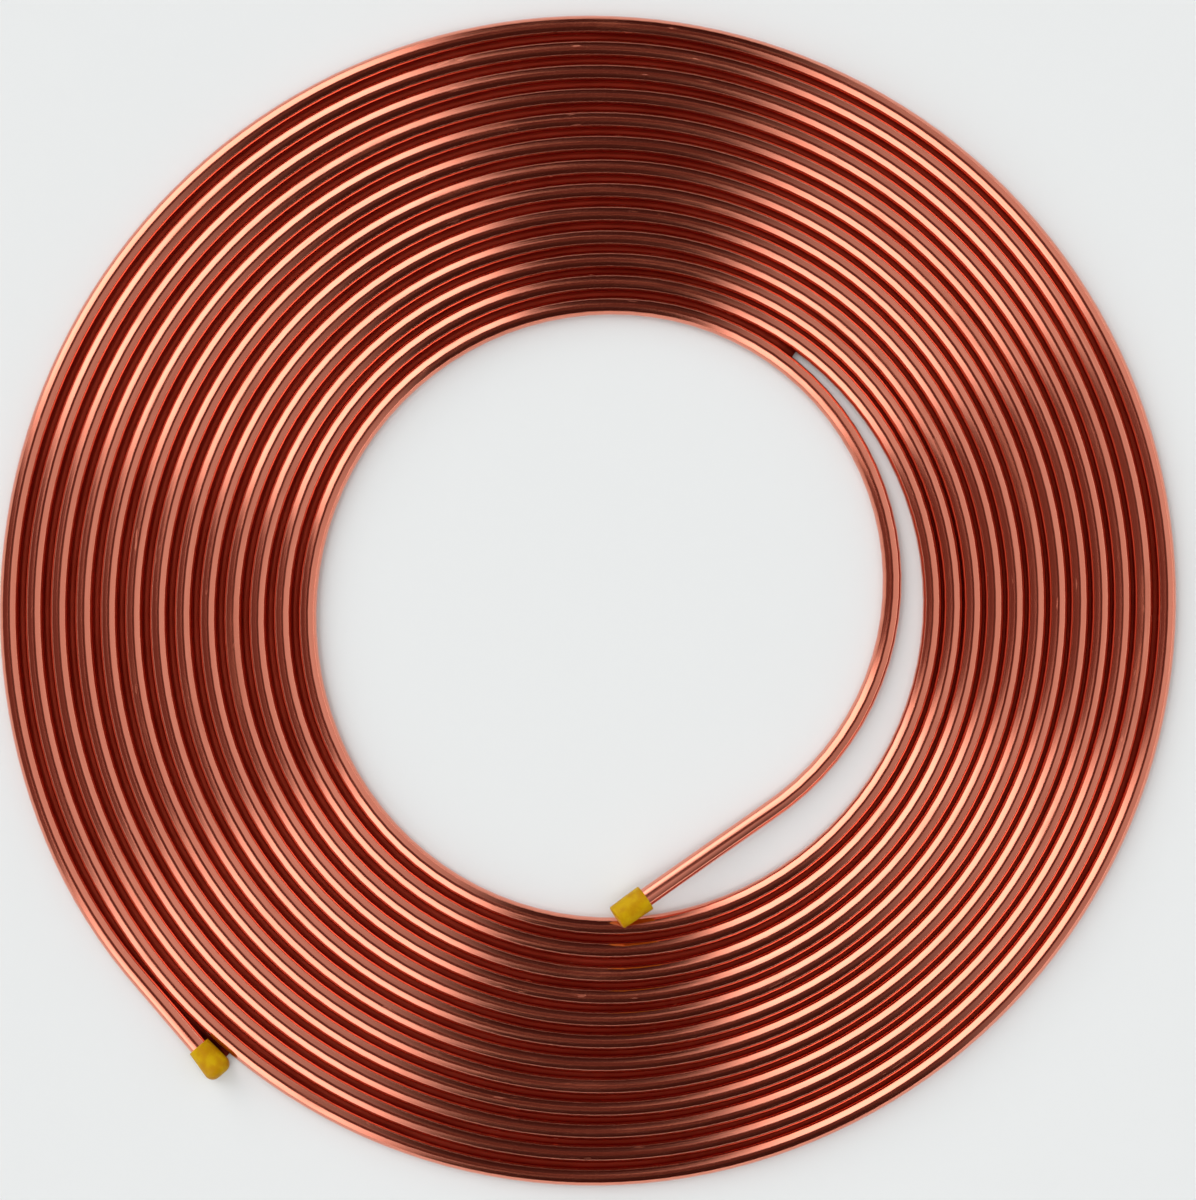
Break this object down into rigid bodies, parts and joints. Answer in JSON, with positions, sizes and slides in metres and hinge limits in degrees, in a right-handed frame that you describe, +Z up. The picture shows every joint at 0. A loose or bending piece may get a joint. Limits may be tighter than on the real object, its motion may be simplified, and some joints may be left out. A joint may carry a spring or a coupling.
{
  "type": "copper tube coil",
  "caption": "Flat pancake coil of bright soft copper tube, its outer end beside the coil, its inner end laid over the bore, each closed by a yellow push-on cap.",
  "frame": {"origin": "on the floor, at the middle of the coil's outermost turn", "axes": "+Z straight up from the floor that the coil lies on; +Y away from the capped outer end, which lies at -X -Y; +X towards the side where the turns lie closest"},
  "size_m": [0.4882, 0.4856, 0.0179],
  "materials": {
    "copper": "bright drawn copper, smooth",
    "cap_plastic": "satin moulded plastic"
  },
  "bodies": {
    "root": {"copper_tube": "copper", "outer_cap": "cap_plastic", "inner_cap": "cap_plastic"}
  },
  "joints": []
}
